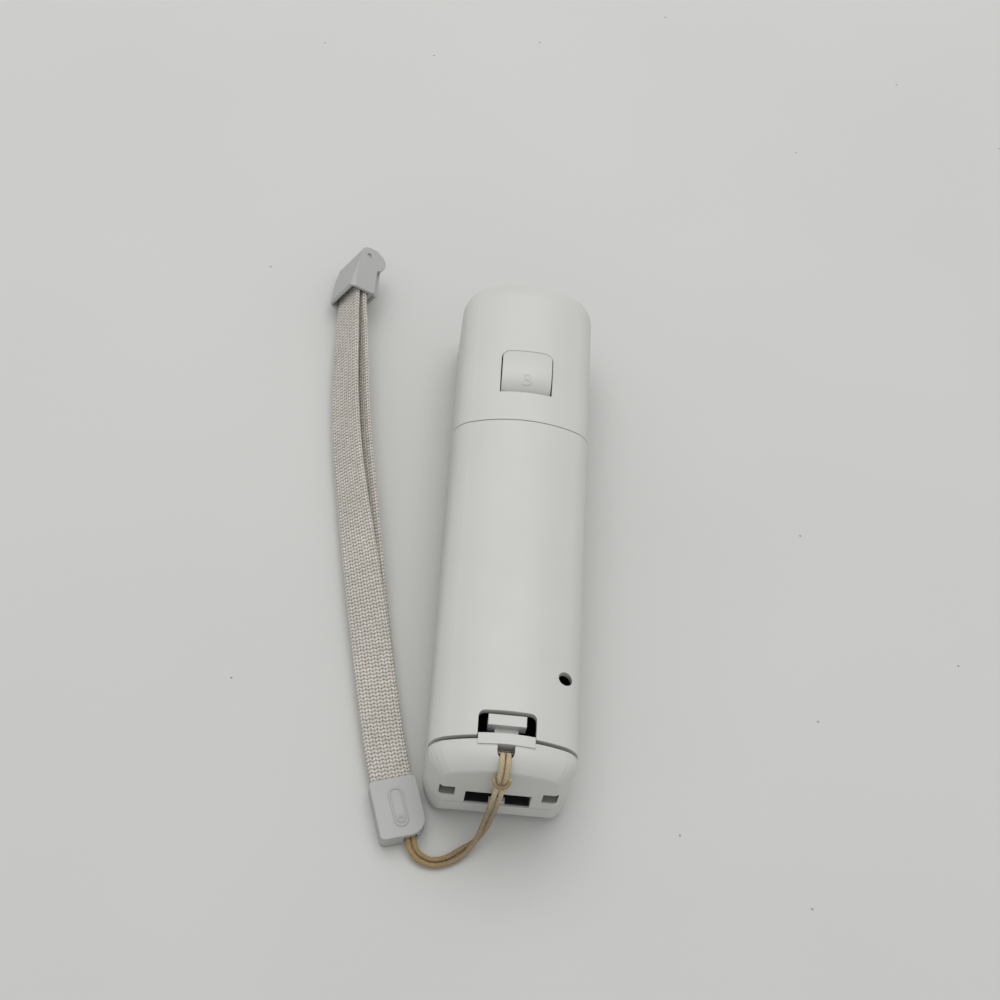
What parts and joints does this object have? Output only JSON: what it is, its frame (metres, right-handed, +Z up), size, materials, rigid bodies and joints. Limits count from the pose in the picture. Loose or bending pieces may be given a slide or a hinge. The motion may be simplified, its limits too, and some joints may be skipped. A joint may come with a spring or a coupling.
{
  "type": "motion controller wand",
  "caption": "Slim one-handed game controller with trigger, face buttons, hinged battery cover, expansion socket and a corded wrist strap with a clamp lock.",
  "frame": {"origin": "centre of the controller's box at table level, with the controller lying on its button face", "axes": "+Z up out of the trigger side, +Y along the body towards the camera end, +X to the right when the trigger side is up and the camera end points away"},
  "size_m": [0.0742, 0.1832, 0.0308],
  "materials": {
    "shell_white": "satin, finely sparked",
    "button_white": "satin",
    "black_plastic": "matte",
    "strap_grey": "matte",
    "webbing": "knitted",
    "cord": "braided",
    "board": "lacquered",
    "rubber": "matte",
    "steel": "bright",
    "gold": "plated",
    "clear": "clear",
    "dark_window": "polished",
    "cell_sleeve": "printed film, left plain",
    "sync_red": "satin"
  },
  "bodies": {
    "body": {"front_shell": "shell_white", "rear_shell": "shell_white", "battery_tray": "black_plastic", "trigger_board": "board", "trigger_switch": "rubber", "dpad_post": "rubber", "upper_membrane": "rubber", "lower_membrane": "rubber", "sync_switch": "steel", "main_board": "board", "board_chips": "black_plastic", "radio_module": "steel", "ir_camera": "black_plastic", "ir_window": "dark_window", "light_guides": "clear", "speaker": "black_plastic", "rumble_motor": "steel", "motor_cradle": "rubber", "battery_left": "cell_sleeve", "battery_right": "cell_sleeve", "spring_left": "steel", "spring_right": "steel", "contact_plates": "steel", "expansion_socket": "black_plastic", "socket_contacts": "gold", "housing_screws": "steel", "strap_bar": "steel", "cord_inner": "cord", "cord_outer": "cord", "cord_hitch": "cord", "strap_base": "strap_grey", "web_upper": "webbing", "web_lower": "webbing", "strap_lock": "strap_grey", "lock_pin": "steel"},
    "battery_cover": {"battery_cover": "shell_white"},
    "cover_latch": {"cover_latch": "button_white"},
    "b_trigger": {"b_trigger": "button_white"},
    "dpad": {"dpad": "button_white"},
    "dpad_ball": {"dpad_ball": "steel"},
    "a_button": {"a_button": "button_white"},
    "minus_button": {"minus_button": "button_white"},
    "home_button": {"home_button": "button_white"},
    "plus_button": {"plus_button": "button_white"},
    "one_button": {"one_button": "button_white"},
    "two_button": {"two_button": "button_white"},
    "power_button": {"power_button": "sync_red"},
    "sync_button": {"sync_button": "sync_red"},
    "rumble_weight": {"rumble_weight": "steel"},
    "lock_lever": {"lock_lever": "strap_grey"}
  },
  "joints": [
    {"name": "trigger_pull", "type": "hinge", "parent": "body", "child": "b_trigger", "pos_m": [0, 0.0472, 0.0252], "axis": [1, 0, 0], "range_deg": [0, 7], "stiffness_Nm_per_rad": 0.1},
    {"name": "cover_swing", "type": "hinge", "parent": "body", "child": "battery_cover", "pos_m": [0, 0.0261, 0.02995], "axis": [-1, 0, 0], "range_deg": [0, 35]},
    {"name": "latch_flex", "type": "hinge", "parent": "battery_cover", "child": "cover_latch", "pos_m": [0, -0.0604, 0.0154], "axis": [-1, 0, 0], "range_deg": [0, 2.5], "stiffness_Nm_per_rad": 0.2},
    {"name": "pad_tilt_updown", "type": "hinge", "parent": "body", "child": "dpad_ball", "pos_m": [0, 0.0495, 0.00458], "axis": [1, 0, 0], "range_deg": [-3.2, 3.2], "stiffness_Nm_per_rad": 0.1},
    {"name": "pad_tilt_sideways", "type": "hinge", "parent": "dpad_ball", "child": "dpad", "pos_m": [0, 0.0495, 0.00458], "axis": [0, 1, 0], "range_deg": [-3.2, 3.2], "stiffness_Nm_per_rad": 0.1},
    {"name": "a_press", "type": "slide", "parent": "body", "child": "a_button", "axis": [0, 0, 1], "range_m": [0, 0.0012], "stiffness_N_per_m": 1000},
    {"name": "minus_press", "type": "slide", "parent": "body", "child": "minus_button", "axis": [0, 0, 1], "range_m": [0, 0.0006], "stiffness_N_per_m": 1000},
    {"name": "home_press", "type": "slide", "parent": "body", "child": "home_button", "axis": [0, 0, 1], "range_m": [0, 0.0006], "stiffness_N_per_m": 1000},
    {"name": "plus_press", "type": "slide", "parent": "body", "child": "plus_button", "axis": [0, 0, 1], "range_m": [0, 0.0006], "stiffness_N_per_m": 1000},
    {"name": "one_press", "type": "slide", "parent": "body", "child": "one_button", "axis": [0, 0, 1], "range_m": [0, 0.0008], "stiffness_N_per_m": 1000},
    {"name": "two_press", "type": "slide", "parent": "body", "child": "two_button", "axis": [0, 0, 1], "range_m": [0, 0.0008], "stiffness_N_per_m": 1000},
    {"name": "power_press", "type": "slide", "parent": "body", "child": "power_button", "axis": [0, 0, 1], "range_m": [0, 0.0005], "stiffness_N_per_m": 1000},
    {"name": "sync_press", "type": "slide", "parent": "body", "child": "sync_button", "axis": [0, 0, -1], "range_m": [0, 0.0005], "stiffness_N_per_m": 600},
    {"name": "rumble_spin", "type": "hinge", "parent": "body", "child": "rumble_weight", "pos_m": [-0.008, -0.0428, 0.0125], "axis": [0, 1, 0], "continuous": true},
    {"name": "lock_lever_open", "type": "hinge", "parent": "body", "child": "lock_lever", "pos_m": [-0.0495, 0.0918, 0.00715], "axis": [0.5, 0, 0.866], "range_deg": [0, 30]}
  ]
}
